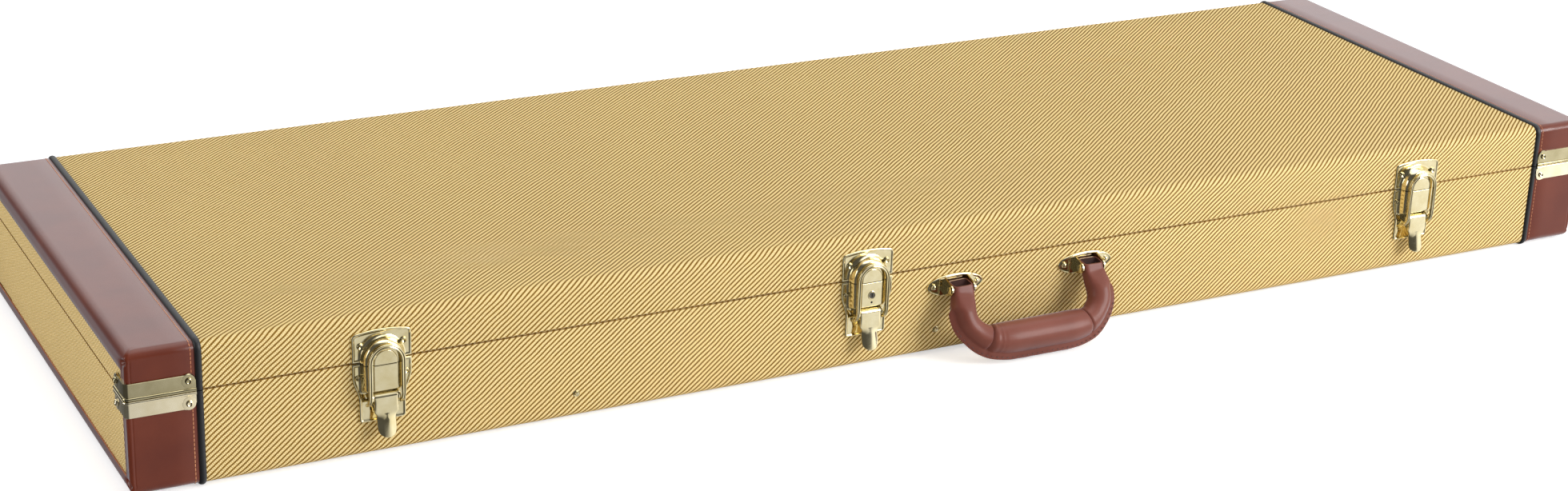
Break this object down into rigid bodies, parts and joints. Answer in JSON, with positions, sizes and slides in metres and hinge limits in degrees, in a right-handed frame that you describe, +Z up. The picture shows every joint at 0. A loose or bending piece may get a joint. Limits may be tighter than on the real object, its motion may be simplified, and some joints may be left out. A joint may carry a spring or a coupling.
{
  "type": "bass guitar case",
  "caption": "Long flat hard case with a hinged lid, draw latches, end wraps, corner clamps, a carrying handle and a padded inside.",
  "frame": {"origin": "on the floor under the middle of the box's bottom, so the box's bottom panel is 1.6 mm above it, on its piping", "axes": "+X along the case towards the body end, +Y from the handle side to the hinge side, +Z up through the lid"},
  "size_m": [1.2054, 0.4274, 0.1042],
  "materials": {
    "tweed": "woven tweed cloth glued over plywood, coated",
    "leathercloth": "brown grained leathercloth, semi-gloss",
    "piping": "black vinyl piping, satin",
    "brass": "pale brass plating, polished",
    "handle_leather": "brown leather, satin, stitched",
    "plush": "deep red plush over padding, matte",
    "foot_rubber": "dark rubber, matte"
  },
  "bodies": {
    "base": {"base_shell": "tweed", "base_lining": "plush", "base_wrap_left": "leathercloth", "base_piping_left": "piping", "base_foot_left": "foot_rubber", "base_clamp_front_left": "brass", "base_clamp_rear_left": "brass", "base_wrap_right": "leathercloth", "base_piping_right": "piping", "base_foot_right": "foot_rubber", "base_clamp_front_right": "brass", "base_clamp_rear_right": "brass", "latch_plate_left": "brass", "lever_pin_left": "brass", "hinge_base_leaf_left": "brass", "hinge_pin_left": "brass", "latch_plate_middle": "brass", "lever_pin_middle": "brass", "hinge_base_leaf_middle": "brass", "hinge_pin_middle": "brass", "latch_plate_right": "brass", "lever_pin_right": "brass", "hinge_base_leaf_right": "brass", "hinge_pin_right": "brass", "handle_bracket_left": "brass", "handle_pin_left": "brass", "partition_stud_left": "brass", "handle_bracket_right": "brass", "handle_pin_right": "brass", "partition_stud_right": "brass", "accessory_tray": "plush", "neck_cradle": "plush"},
    "lid": {"lid_shell": "tweed", "lid_lining": "plush", "lid_wrap_left": "leathercloth", "lid_piping_left": "piping", "lid_foot_left": "foot_rubber", "lid_clamp_front_left": "brass", "lid_clamp_rear_left": "brass", "lid_wrap_right": "leathercloth", "lid_piping_right": "piping", "lid_foot_right": "foot_rubber", "lid_clamp_front_right": "brass", "lid_clamp_rear_right": "brass", "latch_keeper_left": "brass", "hinge_lid_leaf_left": "brass", "latch_keeper_middle": "brass", "hinge_lid_leaf_middle": "brass", "latch_keeper_right": "brass", "hinge_lid_leaf_right": "brass"},
    "handle": {"handle": "handle_leather"},
    "lock_cylinder": {"lock_cylinder": "brass"},
    "lever_left": {"latch_lever_left": "brass"},
    "loop_left": {"latch_loop_left": "brass"},
    "lever_middle": {"latch_lever_middle": "brass"},
    "loop_middle": {"latch_loop_middle": "brass"},
    "lever_right": {"latch_lever_right": "brass"},
    "loop_right": {"latch_loop_right": "brass"}
  },
  "joints": [
    {"name": "lid_hinge", "type": "hinge", "parent": "base", "child": "lid", "pos_m": [0, 0.1911, 0.0696], "axis": [-1, 0, 0], "range_deg": [0, 105]},
    {"name": "handle_swing", "type": "hinge", "parent": "base", "child": "handle", "pos_m": [0.065, -0.198, 0.0536], "axis": [-1, 0, 0], "range_deg": [-22, 120]},
    {"name": "lock_turn", "type": "hinge", "parent": "base", "child": "lock_cylinder", "pos_m": [-0.065, -0.1965, 0.0596], "axis": [0, -1, 0], "range_deg": [0, 90]},
    {"name": "latch_left_lever", "type": "hinge", "parent": "base", "child": "lever_left", "pos_m": [-0.43, -0.1935, 0.0456], "axis": [-1, 0, 0], "range_deg": [0, 120]},
    {"name": "latch_left_loop", "type": "hinge", "parent": "lever_left", "child": "loop_left", "pos_m": [-0.43, -0.1926, 0.04041], "axis": [-1, 0, 0], "range_deg": [-140, 0]},
    {"name": "latch_middle_lever", "type": "hinge", "parent": "base", "child": "lever_middle", "pos_m": [-0.065, -0.1935, 0.0456], "axis": [-1, 0, 0], "range_deg": [0, 120]},
    {"name": "latch_middle_loop", "type": "hinge", "parent": "lever_middle", "child": "loop_middle", "pos_m": [-0.065, -0.1926, 0.04041], "axis": [-1, 0, 0], "range_deg": [-140, 0]},
    {"name": "latch_right_lever", "type": "hinge", "parent": "base", "child": "lever_right", "pos_m": [0.43, -0.1935, 0.0456], "axis": [-1, 0, 0], "range_deg": [0, 120]},
    {"name": "latch_right_loop", "type": "hinge", "parent": "lever_right", "child": "loop_right", "pos_m": [0.43, -0.1926, 0.04041], "axis": [-1, 0, 0], "range_deg": [-140, 0]}
  ],
  "couplings": [
    {"joint": "latch_left_loop", "follows": "latch_left_lever", "ratio": -1.15},
    {"joint": "latch_middle_loop", "follows": "latch_middle_lever", "ratio": -1.15},
    {"joint": "latch_right_loop", "follows": "latch_right_lever", "ratio": -1.15}
  ]
}
